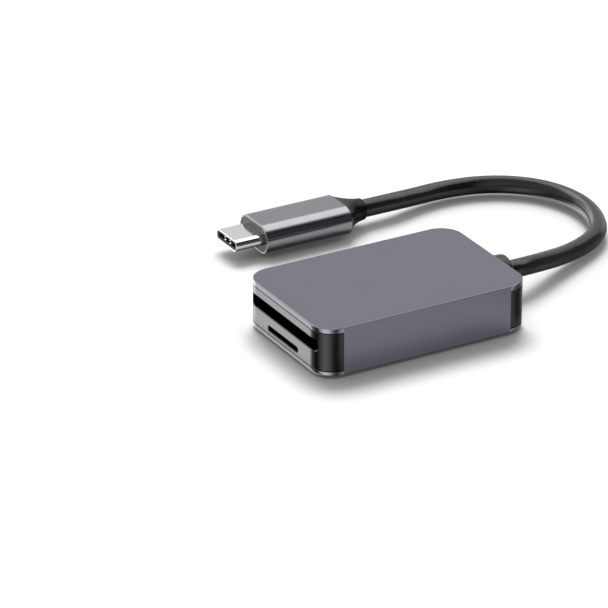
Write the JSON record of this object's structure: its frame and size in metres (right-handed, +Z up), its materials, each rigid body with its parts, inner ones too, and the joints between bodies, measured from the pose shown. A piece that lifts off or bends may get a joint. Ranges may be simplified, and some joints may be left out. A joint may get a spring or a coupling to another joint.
{
  "type": "usb memory card reader",
  "caption": "Flat metal card reader with an SD slot and a microSD slot in one end, a short fixed cable looping back from the other end and a USB-C plug on it.",
  "frame": {"origin": "under the middle of the housing, on the surface that it rests on", "axes": "+Y along the housing towards the cable's exit, so the card slots face -Y; +X to the right seen from the slots' rear; +Z up through the top plate"},
  "size_m": [0.0633, 0.0844, 0.0098],
  "materials": {
    "anodised_aluminium": "satin grey anodised",
    "gloss_black": "gloss black moulded",
    "moulded_black": "soft gloss black moulded",
    "cable_jacket": "smooth black elastomer",
    "nickel_plated_steel": "bright nickel plate",
    "steel_sheet": "rolled stainless sheet",
    "contact_metal": "gold plated",
    "socket_plastic": "black moulded",
    "board_laminate": "green solder mask",
    "chip_plastic": "black moulded package",
    "capacitor_ceramic": "fired ceramic",
    "wire_insulation": "coloured insulation"
  },
  "bodies": {
    "root": {"aluminium_housing": "anodised_aluminium", "front_cap": "gloss_black", "rear_cap": "gloss_black", "cable_collar": "moulded_black", "circuit_board": "board_laminate", "sd_socket_base": "socket_plastic", "sd_socket_shell": "steel_sheet", "sd_contacts": "contact_metal", "microsd_socket_base": "socket_plastic", "microsd_socket_shell": "steel_sheet", "microsd_contacts": "contact_metal", "bridge_controller": "chip_plastic", "crystal": "steel_sheet", "regulator": "chip_plastic", "capacitors": "capacitor_ceramic", "resistors": "chip_plastic", "cable_wires": "wire_insulation", "cable": "cable_jacket", "plug_sleeve": "anodised_aluminium", "plug_inner_mould": "gloss_black", "plug_boot": "moulded_black", "plug_shell": "nickel_plated_steel", "plug_contact_housing": "socket_plastic", "plug_contacts": "contact_metal", "plug_latch": "steel_sheet", "plug_ground_springs": "steel_sheet", "plug_board": "board_laminate", "plug_wires": "wire_insulation"}
  },
  "joints": []
}
